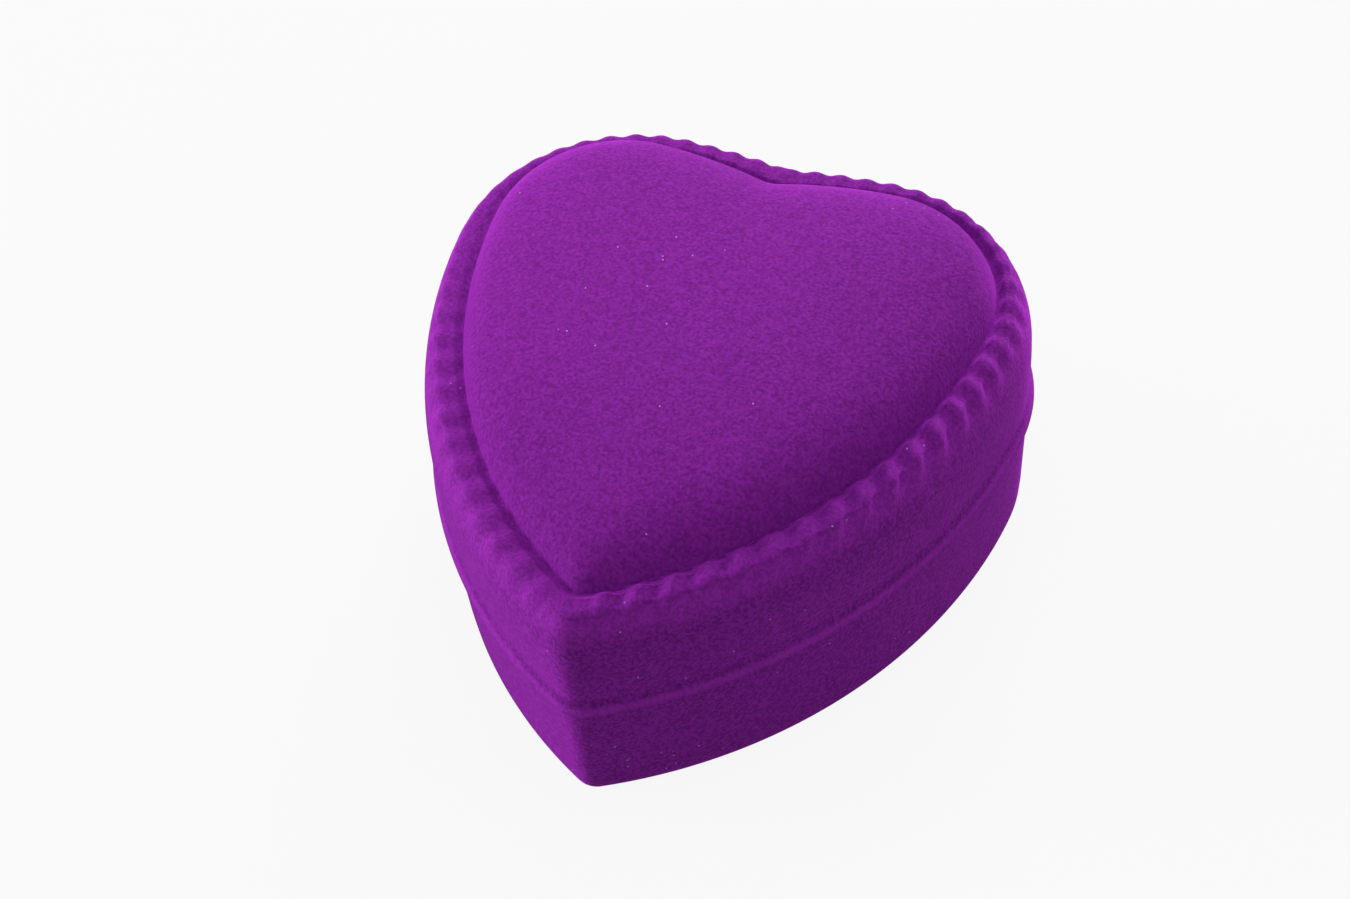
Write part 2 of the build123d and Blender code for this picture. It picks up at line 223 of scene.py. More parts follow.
steelLook = dict(bright=linear(214, 213, 208), dull=linear(168, 166, 160), grainLong=260.0,
                 grainAcross=5200.0, grain=(1.0, 3.0, 0.6), spots=(900.0, 3.0, 0.6), spotLow=0.45,
                 spotHigh=0.72, grainDulls=0.5, spotDulls=0.4, roughLow=0.2, roughRange=0.24,
                 grainRoughens=0.6, spotRoughens=0.4, bumpStrength=0.1, bumpDistance=0.00002)
rivetLook = dict(steelLook, bright=linear(200, 198, 192), dull=linear(142, 139, 132), grainLong=1800.0,
                 grainAcross=2600.0, roughLow=0.26)


def steelFinish(name, look):
    finish, wire, surface, place = newFinish(name)
    stretch = (look["grainLong"], look["grainAcross"], look["grainAcross"])
    drawn = wire.node("ShaderNodeMapping", {}, {"Vector": place, "Scale": stretch})
    grain = noise(wire, drawn, *look["grain"])
    spots = spread(wire, noise(wire, place, *look["spots"]), look["spotLow"], look["spotHigh"])
    dulled = grain * look["grainDulls"] + spots * look["spotDulls"]
    roughened = grain * look["grainRoughens"] + spots * look["spotRoughens"]
    colour = mixColour(wire, dulled, look["bright"], look["dull"])
    feed(wire, surface, colour, look["roughLow"] + look["roughRange"] * roughened, bump(wire, grain, look))
    surface.inputs["Metallic"].default_value = 1.0
    return finish


# Grey-brown board with flecks of fibre

boardLook = dict(base=linear(196, 183, 160), dark=linear(150, 136, 112), fibre=(1500.0, 4.0, 0.7),
                 blot=(260.0, 2.0, 0.5), fibreShare=0.7, blotShare=0.3, toneLow=0.4, toneHigh=0.7,
                 roughness=0.8, roughRange=0.15, bumpStrength=0.3, bumpDistance=0.00006)


def boardFinish(name, look):
    finish, wire, surface, place = newFinish(name)
    fibre, blot = (noise(wire, place, *look[layer]) for layer in ("fibre", "blot"))
    shade = fibre * look["fibreShare"] + blot * look["blotShare"]
    tone = spread(wire, shade, look["toneLow"], look["toneHigh"])
    colour = mixColour(wire, tone, look["base"], look["dark"])
    feed(wire, surface, colour, look["roughness"] + fibre * look["roughRange"], bump(wire, fibre, look))
    return finish


flockFinish = pileFinish("purpleFlock", shellFlock)
lidFinish = pileFinish("lidFlock", lidFlock)
velvetFinish = pileFinish("padVelvet", padVelvet)
ivorySatin = satinFinish("ivorySatin", satinLook)
zincSteel = steelFinish("zincSteel", steelLook)
rivetSteel = steelFinish("rivetSteel", rivetLook)
greyBoard = boardFinish("greyBoard", boardLook)
print("finishes: flock, velvet, satin, steel and board")


# Heart outline

smallestTip = 0.0008
arcCounts = (6, 36, 112, 178, 18)  # steps along the cleft, rear, lobe, flank and tip arcs
heart = dict(width=0.056, cleft=0.010, cleftAngle=8.5, rear=0.072, rearAngle=7.0, lobeAngle=95.0,
             flank=0.0505, tip=0.0033)
panelHeart = dict(width=0.0486, cleft=0.0022, cleftAngle=16.8, rear=0.0418, rearAngle=15.3, lobeAngle=95.0,
                  flank=0.0489, tip=0.0013)
panelRearInset = 0.0036


class HeartForm:
    # Half a heart is a chain of tangent arcs: cleft, rear, lobe, flank and tip. An inset changes only radii.
    def __init__(self, width, cleft, cleftAngle, rear, rearAngle, lobeAngle, flank, tip, rearY=None):
        self.cleft, self.rear, self.flank, self.tip = cleft, rear, flank, tip
        self.cleftAngle, self.rearAngle, self.lobeAngle = cleftAngle, rearAngle, lobeAngle
        rise = radians(cleftAngle)
        bend = radians(cleftAngle - rearAngle)
        reach = cleft * sin(rise) + rear * (sin(rise) - sin(bend))
        self.lobe = (width / 2 - reach) / (1 + sin(bend))
        lobeY = cleft * (1 - cos(rise)) + rear * (cos(bend) - cos(rise)) - self.lobe * cos(bend)
        self.lobeHeading = cleftAngle - rearAngle - lobeAngle
        away = radians(self.lobeHeading)
        self.flankX = width / 2 - self.lobe - (self.lobe - flank) * sin(away)
        flankY = lobeY + (self.lobe - flank) * cos(away)
        lowest = flankY - sqrt((flank - tip) ** 2 - self.flankX ** 2) - tip
        highest = lobeY + self.lobe
        # The heart is centred front to back, or set by its rear
        self.cleftY = -(lowest + highest) / 2 if rearY is None else rearY - highest
        self.rearY = highest + self.cleftY

    def half(self, inset, counts, leastTip=smallestTip):
        # Points from the cleft round the right side to the tip.
        tip = max(self.tip - inset, leastTip)
        drop = sqrt((self.flank - inset - tip) ** 2 - self.flankX ** 2)
        tipHeading = degrees(atan2(self.flankX, -drop))
        arcs = ((self.cleft + inset, self.cleftAngle), (self.rear - inset, -self.rearAngle),
                (self.lobe - inset, -self.lobeAngle), (self.flank - inset, tipHeading - self.lobeHeading),
                (tip, -180 - tipHeading))
        point = np.array([0.0, self.cleftY - inset])
        heading = 0.0
        points = [point]
        for (radius, turn), count in zip(arcs, counts):
            way = 1 if turn > 0 else -1
            side = np.array([-sin(radians(heading)), cos(radians(heading))])
            centre = point + way * radius * side
            for step in range(1, count + 1):
                angle = radians(heading + turn * step / count)
                points.append(centre - way * radius * np.array([-sin(angle), cos(angle)]))
            point = points[-1]
            heading += turn
        return np.array(points)

    def ring(self, inset, counts=arcCounts, leastTip=smallestTip):
        right = self.half(inset, counts, leastTip)
        left = right[-2:0:-1] * (-1, 1)
        return np.vstack([right, left])


lipForm = HeartForm(**heart)
panelForm = HeartForm(rearY=lipForm.rearY - panelRearInset, **panelHeart)


# Meshes from rings of points

cleanUp = dict(merge=2e-6, thinnest=1e-6, sharp=radians(50))


def smooth(value, low, high):
    share = np.clip((value - low) / (high - low), 0, 1)
    return share * share * (3 - 2 * share)


def nearestOn(curve, places):
    # For each place, the distance to a polyline and the run along it to the nearest point.
    start, span = curve[:-1], np.diff(curve, axis=0)
    length = np.linalg.norm(span, axis=1)
    run = np.concatenate([[0], np.cumsum(length)])[:-1]
    offset = places[:, None] - start[None]
    share = np.clip((offset * span).sum(axis=2) / length ** 2, 0, 1)
    gap = np.linalg.norm(offset - share[..., None] * span, axis=2)
    best = gap.argmin(axis=1)
    row = np.arange(len(places))
    return gap[row, best], run[best] + share[row, best] * length[best]


def raisedTo(plan, z):
    # A plan outline as a ring in space, at one height or at a height for each point.
    return np.column_stack([plan, np.broadcast_to(z, len(plan))])


def meshFrom(name, points, faces):
    mesh = bpy.data.meshes.new(name)
    mesh.from_pydata(points, [], faces)
    mesh.update()
    return mesh


def ringsMesh(name, rings):
    # Rings of equal count joined into a skin, the first and last closed by a fan.
    count = len(rings[0])
    points = [tuple(point) for ring in rings for point in ring]
    lastStart = len(points) - count
    faces = []
    for low in range(0, lastStart, count):
        high = low + count
        for k in range(count):
            nextK = (k + 1) % count
            faces.append((low + k, high + k, high + nextK, low + nextK))
    for ring, start, turn in ((rings[0], 0, 1), (rings[-1], lastStart, -1)):
        pole = len(points)
        points.append(tuple(np.mean(ring, axis=0)))
        for k in range(count):
            pair = (start + k, start + (k + 1) % count)
            faces.append((pole, *pair[::turn]))
    return meshFrom(name, points, faces)


def cleaned(mesh, angle=cleanUp["sharp"]):
    # Merges doubles, turns faces outwards and keeps only sharp corners sharp.
    work = bmesh.new()
    work.from_mesh(mesh)
    bmesh.ops.remove_doubles(work, verts=work.verts, dist=cleanUp["merge"])
    bmesh.ops.dissolve_degenerate(work, edges=work.edges, dist=cleanUp["thinnest"])
    bmesh.ops.recalc_face_normals(work, faces=work.faces)
    for face in work.faces:
        face.smooth = True
    work.to_mesh(mesh)
    work.free()
    mesh.set_sharp_from_angle(angle=angle)
    return mesh


def newPiece(name, mesh, finish, body, replaced):
    piece = bpy.data.objects.new(name, mesh)
    scene.collection.objects.link(piece)
    mesh.materials.clear()
    mesh.materials.append(finish)
    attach(piece, body)
    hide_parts(*replaced)
    return piece


def evaluated(holder):
    return bpy.data.meshes.new_from_object(holder.evaluated_get(bpy.context.evaluated_depsgraph_get()))


# Hinge: windows in both rims, bevels behind the pin and a seat for each leaf

hinge = dict(y=0.029015, z=0.0136, slope=tan(radians(50.0)), windowHalf=0.00719, windowY=0.0255,
             lidWindowTop=0.01489, baseWindowFloor=0.01231, seatY=0.02672, seatBite=0.0011, seatHalf=0.0065,
             seatHeight=0.00621, seatRound=0.00015, seatSegments=3)


def inWindow(plan):
    return (abs(plan[:, 0]) < hinge["windowHalf"]) & (plan[:, 1] > hinge["windowY"])


def bevelAt(plan):
    # How far the bevel is from the height of the pin, with none in front of it.
    return np.maximum(plan[:, 1] - hinge["y"], 0) * hinge["slope"]


def withSeat(mesh, low):
    # Adds the block that a leaf is riveted to, from a height upwards.
    near = Vector((-hinge["seatHalf"], hinge["seatY"], low))
    far = Vector((hinge["seatHalf"], hinge["seatY"] + hinge["seatBite"], low + hinge["seatHeight"]))
    block = bmesh.new()
    bmesh.ops.create_cube(block, size=1.0)
    placed = Matrix.Translation((near + far) / 2) @ Matrix.Diagonal((*(far - near), 1))
    bmesh.ops.transform(block, matrix=placed, verts=block.verts)
    bmesh.ops.bevel(block, geom=block.edges[:], offset=hinge["seatRound"], segments=hinge["seatSegments"],
                    profile=0.5, affect="EDGES")
    seat = bpy.data.meshes.new("seat")
    block.to_mesh(seat)
    block.free()
    work = bmesh.new()
    work.from_mesh(mesh)
    work.from_mesh(seat)
    work.to_mesh(mesh)
    work.free()
    bpy.data.meshes.remove(seat)
    return mesh


# Geometry nodes: soft ribs pressed into a skin along a stored phase

ribSizes = {"Rib Depth": "depth", "Rib Lift": "lift", "Valley Width": "valley"}


def ribTree(name):
    tree = bpy.data.node_groups.new(name, "GeometryNodeTree")
    tree.interface.new_socket("Geometry", in_out="INPUT", socket_type="NodeSocketGeometry")
    for label in ribSizes:
        tree.interface.new_socket(label, in_out="INPUT", socket_type="NodeSocketFloat")
    tree.interface.new_socket("Finish", in_out="INPUT", socket_type="NodeSocketMaterial")
    tree.interface.new_socket("Geometry", in_out="OUTPUT", socket_type="NodeSocketGeometry")
    wire = Wire(tree)
    given = tree.nodes.new("NodeGroupInput")
    skin, depth, lift, valley, finish = (Wire(tree, given.outputs[label])
                                         for label in ("Geometry", *ribSizes, "Finish"))
    phase, weight = (wire.node("GeometryNodeInputNamedAttribute", {"data_type": "FLOAT"}, {"Name": label})
                     for label in ("ribPhase", "ribWeight"))
    # Whole phases are the floors of the valleys, and a narrow valley is a high power of the wave
    wave = wire.math("ABSOLUTE", wire.math("COSINE", phase * pi))
    hollow = wave ** wire.math("DIVIDE", 1.0, valley)
    rise = (lift - hollow * depth) * weight
    normal = wire.node("GeometryNodeInputNormal", {}, {})
    shift = wire.node("ShaderNodeVectorMath", {"operation": "SCALE"}, {0: normal, "Scale": rise})
    moved = wire.node("GeometryNodeSetPosition", {}, {"Geometry": skin, "Offset": shift})
    real = wire.node("GeometryNodeRealizeInstances", {}, {"Geometry": moved})
    done = wire.node("GeometryNodeSetMaterial", {}, {"Geometry": real, "Material": finish})
    out = tree.nodes.new("NodeGroupOutput")
    tree.links.new(done.socket, out.inputs["Geometry"])
    return tree


pressedRibs = ribTree("pressedRibs")


def ribbed(mesh, phase, weight, ribs, finish):
    # Runs the rib tree over a mesh and hands back a plain mesh.
    for name, values in (("ribPhase", phase), ("ribWeight", weight)):
        mesh.attributes.new(name, "FLOAT", "POINT").data.foreach_set("value", values.astype(np.float32))
    holder = bpy.data.objects.new("ribHolder", mesh)
    scene.collection.objects.link(holder)
    modifier = holder.modifiers.new("ribs", "NODES")
    modifier.node_group = pressedRibs
    inputs = {item.name: item.identifier for item in pressedRibs.interface.items_tree
              if item.in_out == "INPUT"}
    for label, key in ribSizes.items():
        modifier[inputs[label]] = ribs[key]
    modifier[inputs["Finish"]] = finish
    shaped = evaluated(holder)
    bpy.data.objects.remove(holder)
    for name in ("ribPhase", "ribWeight"):
        shaped.attributes.remove(shaped.attributes[name])
    return shaped


# Lid: lip, wall, rope border, groove and pillowed heart panel

lid = dict(bottom=0.0137, inner=0.00215, ceiling=0.0242, coarseStop=0.0018, fineStart=0.0015,
           lipInset=-0.0002, lipLower=0.00006, lipUpper=0.00016, lipTurn=pi / 4, flareHeight=0.0014,
           footInset=0.00038, bulgeInset=0.0001, bulgeHeight=0.0197, shoulder=0.0025,
           shoulderDrop=0.0052, shoulderTop=0.0262, shoulderTurn=radians(61.0), crownInset=0.0021,
           ropeCrest=0.02606, headWidth=0.00085, grooveWidth=0.0001, grooveFloor=0.0254,
           leftFill=0.0004, leftFrom=0.004, leftTo=0.014, panelTop=0.0309, panelFall=0.0020,
           panelFullness=3.0, tipFall=0.0010, tipFrom=0.026, edgeSoft=0.0012, tipGrowth=0.55)
lidSteps = dict(ceilingShares=(0.05, 0.3, 0.6, 0.85), coarse=5, fine=6, rim=6, lip=4,
                flareShares=(0.1, 0.2, 0.3, 0.42, 0.55, 0.7, 0.85, 1.0), wall=14, shoulder=20, crown=8,
                landShares=(0.33, 0.67), head=12, grooveShares=(0.6, 0.3),
                edgeInsets=(0, 0.00008, 0.00018, 0.0003, 0.00045, 0.0006, 0.0008, 0.001, 0.00125,
                            0.00155, 0.0019, 0.0023, 0.0028, 0.0034, 0.0042),
                panelShares=(0.95, 0.9, 0.84, 0.77, 0.69, 0.6, 0.5, 0.4, 0.3, 0.2, 0.1, 0.04))
rope = dict(depth=0.00074, lift=0.00020, valley=0.45, start=0.0016, startShare=0.1, end=0.0030,
            endShare=0.5, rearPitch=0.0025, flankPitch=0.0032, rearSlant=5.0, rightSlant=28.0,
            leftSlant=-8.0, leanFrom=0.34, leanTo=0.62, fadeFrom=0.0019, rearFade=0.0032,
            flankFade=0.0049, innerFrom=-0.0011, innerTo=0.0003, innerShare=0.35, rearShare=0.32,
            leftShare=0.4, leftCalm=0.75, calmFrom=0.2, calmTo=0.48, marks=2000)


def lidInside(v, steps):
    # Inset and height of each ring from the ceiling down the inner wall and out over the rim.
    for z in np.linspace(v["ceiling"], v["bottom"] + v["coarseStop"], steps["coarse"]):
        yield v["inner"], z
    for z in np.linspace(v["bottom"] + v["fineStart"], v["bottom"], steps["fine"]):
        yield v["inner"], z
    for inset in np.linspace(v["inner"], v["lipInset"] + v["lipLower"], steps["rim"])[1:-1]:
        yield inset, v["bottom"]


def lidOutside(v, steps):
    # Inset and height of each ring from the lip up the flare, the bulged wall and the shoulder to the crown.
    lipMiddle = v["bottom"] + v["lipLower"]
    for turn in np.linspace(0, pi / 2, steps["lip"]):
        yield v["lipInset"] + v["lipLower"] * (1 - sin(turn)), lipMiddle - v["lipLower"] * cos(turn)
    for turn in np.linspace(0, v["lipTurn"], steps["lip"])[1:]:
        flareStart = v["lipInset"] + v["lipUpper"] * (1 - cos(turn))
        yield flareStart, lipMiddle + v["lipUpper"] * sin(turn)
    lipTop = lipMiddle + v["lipUpper"]
    for share in steps["flareShares"]:
        inset = flareStart + (v["footInset"] - flareStart) * (1 - (1 - share) ** 2)
        yield inset, lipTop + v["flareHeight"] * share
    wallFoot = lipTop + v["flareHeight"]
    for share in np.linspace(0, 1, steps["wall"])[1:]:
        inset = v["footInset"] + (v["bulgeInset"] - v["footInset"]) * sin(share * pi / 2)
        yield inset, wallFoot + (v["bulgeHeight"] - wallFoot) * share
    for turn in np.linspace(0, v["shoulderTurn"], steps["shoulder"]):
        crownStart = v["bulgeInset"] + v["shoulder"] * (1 - cos(turn))
        crownFoot = v["shoulderTop"] - v["shoulderDrop"] * (1 - sin(turn))
        yield crownStart, crownFoot
    for turn in np.linspace(0, pi / 2, steps["crown"])[1:]:
        inset = crownStart + (v["crownInset"] - crownStart) * (1 - cos(turn))
        yield inset, crownFoot + (v["ropeCrest"] - crownFoot) * sin(turn)


def lidWallRing(inset, z, v):
    # The hinge window is cut up from the rim, and behind the pin the edge is bevelled for the swing.
    plan = lipForm.ring(inset)
    if z < hinge["lidWindowTop"]:
        window = inWindow(plan)
        if inset < v["footInset"]:
            plan[window] = lipForm.ring(v["footInset"])[window]
        z = np.where(window, hinge["lidWindowTop"], z)
    behind = plan[:, 1] > hinge["y"]
    return raisedTo(plan, np.where(behind, np.maximum(z, hinge["z"] + bevelAt(plan)), z))


def lidRings(v, steps):
    # Rings from the middle of the ceiling, over rim, wall, border and groove, to the middle of the panel.
    ceiling = lipForm.ring(v["inner"])
    rings = [raisedTo(ceiling * share, v["ceiling"]) for share in steps["ceilingShares"]]
    rings += [lidWallRing(inset, z, v) for inset, z in (*lidInside(v, steps), *lidOutside(v, steps))]
    crown = len(rings) - 1
    # Land, then soft heads that roll down into the groove, which is shallower on the left
    headStart = -v["grooveWidth"] - v["headWidth"]
    foot = panelForm.ring(0)
    floor = v["grooveFloor"] + v["leftFill"] * smooth(-foot[:, 0], v["leftFrom"], v["leftTo"])
    landEdge = rings[-1]
    headEdge = raisedTo(panelForm.ring(headStart), landEdge[:, 2])
    rings += [landEdge + (headEdge - landEdge) * share for share in steps["landShares"]]
    head = len(rings)
    for share in np.linspace(0, 1, steps["head"]):
        z = v["ropeCrest"] - (v["ropeCrest"] - floor) * (1 - cos(pi * share)) / 2
        rings.append(raisedTo(panelForm.ring(headStart + v["headWidth"] * share), z))
    groove = len(rings)
    rings += [raisedTo(panelForm.ring(-share * v["grooveWidth"]), floor) for share in steps["grooveShares"]]

    def dome(plan):
        share = np.linalg.norm(plan, axis=1) / np.linalg.norm(foot, axis=1)
        tipDrop = v["tipFall"] * smooth(-plan[:, 1], 0, v["tipFrom"])
        return v["panelTop"] - v["panelFall"] * share ** v["panelFullness"] - tipDrop

    # Panel: a steep side that eases into a dome
    edgeRise = dome(foot) - floor
    for inset in steps["edgeInsets"]:
        plan = panelForm.ring(inset, leastTip=panelForm.tip + v["tipGrowth"] * inset)
        rings.append(raisedTo(plan, dome(plan) - edgeRise * exp(-inset / v["edgeSoft"])))
    rings += [raisedTo(plan * share, dome(plan * share)) for share in steps["panelShares"]]
    return rings, crown, head, groove


def ropeField(rings, crown, head, groove, v, ribs):
    # Phase and weight of the ribs. They start at the head edge, nearly square to it, and lean on the flanks.
    steps = np.linalg.norm(np.diff(np.array(rings), axis=0), axis=2)
    headEdge, landEdge = rings[head][:, :2], rings[crown][:, :2]
    steps[crown:head] = nearestOn(np.vstack([headEdge, headEdge[:1]]), landEdge)[0] / (head - crown)
    travel = np.vstack([np.zeros(len(headEdge)), np.cumsum(steps, axis=0)])
    reach = travel[head] - travel
    half = lipForm.half(v["crownInset"], arcCounts)
    run = np.array([nearestOn(half, np.column_stack([abs(ring[:, 0]), ring[:, 1]]))[1] for ring in rings])
    right = np.array([ring[:, 0] > 0 for ring in rings])
    full = run.max()

    def between(rear, flank, along):
        return rear + (flank - rear) * smooth(along, ribs["leanFrom"] * full, ribs["leanTo"] * full)

    marks = np.linspace(0, full, ribs["marks"])
    counts = np.cumsum(full / ribs["marks"] / between(ribs["rearPitch"], ribs["flankPitch"], marks))
    count = np.interp(run, marks, counts) - ribs["start"] / ribs["rearPitch"]
    slant = between(ribs["rearSlant"], np.where(right, ribs["rightSlant"], ribs["leftSlant"]), run)
    lean = np.tan(np.radians(slant)) * np.maximum(reach, 0)
    phase = count - lean / between(ribs["rearPitch"], ribs["flankPitch"], run)
    # Weight: none at cleft and tip, less at the rear and left, and fading down the wall and at the groove
    weight = between(ribs["rearShare"], np.where(right, 1.0, ribs["leftShare"]), run)
    weight *= smooth(run, ribs["startShare"] * ribs["start"], ribs["start"])
    weight *= 1 - smooth(run, full - ribs["end"], full - ribs["endShare"] * ribs["end"])
    weight *= 1 - smooth(reach, ribs["fadeFrom"], between(ribs["rearFade"], ribs["flankFade"], run))
    outward = smooth(reach, ribs["innerFrom"], ribs["innerTo"])
    weight *= ribs["innerShare"] + (1 - ribs["innerShare"]) * outward
    calm = smooth(run, ribs["calmFrom"] * full, ribs["leanFrom"] * full)
    calm *= 1 - smooth(run, ribs["calmTo"] * full, ribs["leanTo"] * full)
    weight *= 1 - np.where(right, 0, ribs["leftCalm"]) * calm
    weight[groove:] = 0
    return phase, weight


def lidShell(v, steps, ribs):
    rings, crown, head, groove = lidRings(v, steps)
    phase, weight = ropeField(rings, crown, head, groove, v, ribs)
    mesh = ringsMesh("lidSkin", rings)
    poles = np.zeros(len(mesh.vertices) - phase.size)
    mesh = ribbed(mesh, np.append(phase, poles), np.append(weight, poles), ribs, lidFinish)
    return cleaned(withSeat(mesh, hinge["lidWindowTop"]))


lidPiece = newPiece("lidShell", lidShell(lid, lidSteps, rope), lidFinish, "lid", ["lid_shell"])
print("lid:", len(lidPiece.data.polygons), "faces")


# Base: tapered tray with soft lower edges

tray = dict(height=0.01365, rimInset=0.0003, footInset=0.001066, footEase=0.00009, bottomRadius=0.0022,
            rimRadius=0.0001, inner=0.0023, floor=0.0018, centreY=0.0015, outerCoarseStop=0.0025,
            outerFineStart=0.0022, innerFineStart=0.0002, innerFineStop=0.0018, innerCoarseStart=0.003)
traySteps = dict(underShares=(0.05, 0.35, 0.7, 0.9), bottom=11, outerCoarse=12, outerFine=10, rim=6, land=5,
                 innerFine=6, innerCoarse=5, floorShares=(0.85, 0.5, 0.2, 0.05))


def trayWall(v, steps):
    # Inset and height of each ring from the rounded foot up the outer wall, over the rim and down inside.
    for turn in np.linspace(0, pi / 2, steps["bottom"]):
        inset = v["footInset"] + v["bottomRadius"] * (1 - sin(turn)) - v["footEase"] * sin(turn)
        yield inset, v["bottomRadius"] * (1 - cos(turn))
    wallTop = v["height"] - v["rimRadius"]
    coarse = np.linspace(v["bottomRadius"], wallTop - v["outerCoarseStop"], steps["outerCoarse"])[1:]
    fine = np.linspace(wallTop - v["outerFineStart"], wallTop, steps["outerFine"])
    for z in (*coarse, *fine):
        yield v["footInset"] + (v["rimInset"] - v["footInset"]) * z / v["height"], z
    for turn in np.linspace(0, pi / 2, steps["rim"])[1:]:
        yield v["rimInset"] + v["rimRadius"] * (1 - cos(turn)), wallTop + v["rimRadius"] * sin(turn)
    for inset in np.linspace(v["rimInset"] + v["rimRadius"], v["inner"], steps["land"])[1:]:
        yield inset, v["height"]
    fine = np.linspace(v["innerFineStart"], v["innerFineStop"], steps["innerFine"])
    coarse = np.linspace(v["height"] - v["innerCoarseStart"], v["floor"], steps["innerCoarse"])
    for z in (*(v["height"] - fine), *coarse):
        yield v["inner"], z


def trayWallRing(inset, z):
    plan = lipForm.ring(inset)
    z = np.where(inWindow(plan), min(z, hinge["baseWindowFloor"]), z)
    behind = plan[:, 1] > hinge["y"]
    return raisedTo(plan, np.where(behind, np.minimum(z, hinge["z"] - bevelAt(plan)), z))


def trayShell(v, steps):
    middle = np.array([0.0, v["centreY"]])

    def filled(inset, z, shares):
        edge = lipForm.ring(inset)
        return [raisedTo(middle + (edge - middle) * share, z) for share in shares]

    rings = filled(v["footInset"] + v["bottomRadius"], 0.0, steps["underShares"])
    rings += [trayWallRing(inset, z) for inset, z in trayWall(v, steps)]
    rings += filled(v["inner"], v["floor"], steps["floorShares"])
    return cleaned(withSeat(ringsMesh("traySkin", rings), hinge["baseWindowFloor"] - hinge["seatHeight"]))


trayPiece = newPiece("trayShell", trayShell(tray, traySteps), flockFinish, "base", ["base_shell"])
print("tray:", len(trayPiece.data.polygons), "faces")


# Bands: covered card bent round the heart and open at the hinge

bandSteps = dict(arcs=(6, 36, 80, 110, 16), corner=5, side=12, sharp=radians(60))
collar = dict(outer=0.0024, inner=0.0032, low=0.0018, high=0.0151, soft=0.00028, openHalf=0.00744)
lining = dict(outer=0.00225, inner=0.00285, low=0.0172, high=0.0242, soft=0.00022, openHalf=0.00744)
gathers = dict(depth=0.00012, lift=0.0, valley=0.4, pitch=0.0021, wander=((0.7, 0.4, 0.0), (0.31, 0.5, 1.0)))


def bandSection(v, steps):
    # Across and height of each point, up the outer side, over the soft edge and down the inner side.
    side = (v["inner"] - v["outer"]) / 2 - v["soft"]
    low, high = v["low"] + v["soft"], v["high"] - v["soft"]
    section = []
    for across, z, start, nextZ in ((-side, low, 1.5 * pi, high), (-side, high, pi, high),
                                    (side, high, 0.5 * pi, low), (side, low, 0.0, low)):
        for turn in np.linspace(0, pi / 2, steps["corner"]):
            section.append((across + v["soft"] * cos(start - turn), z + v["soft"] * sin(start - turn)))
        if nextZ != z:
            shares = np.linspace(0, 1, steps["side"])[1:-1]
            section += [(section[-1][0], z + (nextZ - z) * share) for share in shares]
    return section


def bentBand(name, v, steps, finish, folds=None):
    section = bandSection(v, steps)
    middle = (v["inner"] + v["outer"]) / 2
    rings = [raisedTo(lipForm.ring(middle + across, steps["arcs"]), z) for across, z in section]
    # Without the opening, the points run from its right end round to its left end
    keep = ~((abs(rings[0][:, 0]) < v["openHalf"]) & (rings[0][:, 1] > 0))
    rings = [ring[keep] for ring in rings]
    count = len(rings[0])
    starts = [step * count for step in range(len(rings))]
    faces = []
    for here, above in zip(starts, starts[1:] + starts[:1]):
        faces += [(here + k, above + k, above + k + 1, here + k + 1) for k in range(count - 1)]
    faces.append(tuple(starts))
    faces.append(tuple(start + count - 1 for start in reversed(starts)))
    mesh = meshFrom(name, [tuple(point) for ring in rings for point in ring], faces)
    if folds:
        lengths = np.linalg.norm(np.diff(rings[0][:, :2], axis=0), axis=1)
        even = np.concatenate([[0], np.cumsum(lengths)]) / folds["pitch"]
        phase = even + sum(size * np.sin(even * rate + shift) for rate, size, shift in folds["wander"])
        inside = [1.0 if across > 0 else 0.0 for across, z in section]
        mesh = ribbed(mesh, np.tile(phase, len(rings)), np.repeat(inside, count), folds, finish)
    return cleaned(mesh, steps["sharp"])


collarMesh = bentBand("baseCollar", collar, bandSteps, velvetFinish)
collarPiece = newPiece("baseCollar", collarMesh, velvetFinish, "base", ["base_collar"])
liningMesh = bentBand("lidLiningBand", lining, bandSteps, ivorySatin, gathers)
liningPiece = newPiece("lidLiningBand", liningMesh, ivorySatin, "lid", ["lid_lining_band"])
print("bands: collar", len(collarPiece.data.polygons), "and lining", len(liningPiece.data.polygons), "faces")


# Padded pieces, swelled by cloth pressure at ten times their size

cushions = dict(scale=10.0, merge=1e-6, voxel=0.007, relaxFactor=0.5, relaxRounds=4, frames=20, pressure=4.0,
                quality=6, leastShift=1e-9)
ringPads = dict(shrink=0.972, cap=0.0007, holdBelow=0.0034, looseness=0.0, fill=0.85)
lidPad = dict(shrink=0.985, cap=0.0008, holdAbove=0.0234, looseness=-0.045, fill=0.6)


def pointsOf(mesh):
    places = np.zeros(len(mesh.vertices) * 3)
    mesh.vertices.foreach_get("co", places)
    return places.reshape(-1, 3)


def setPoints(mesh, places):
    mesh.vertices.foreach_set("co", places.ravel())
    mesh.update()


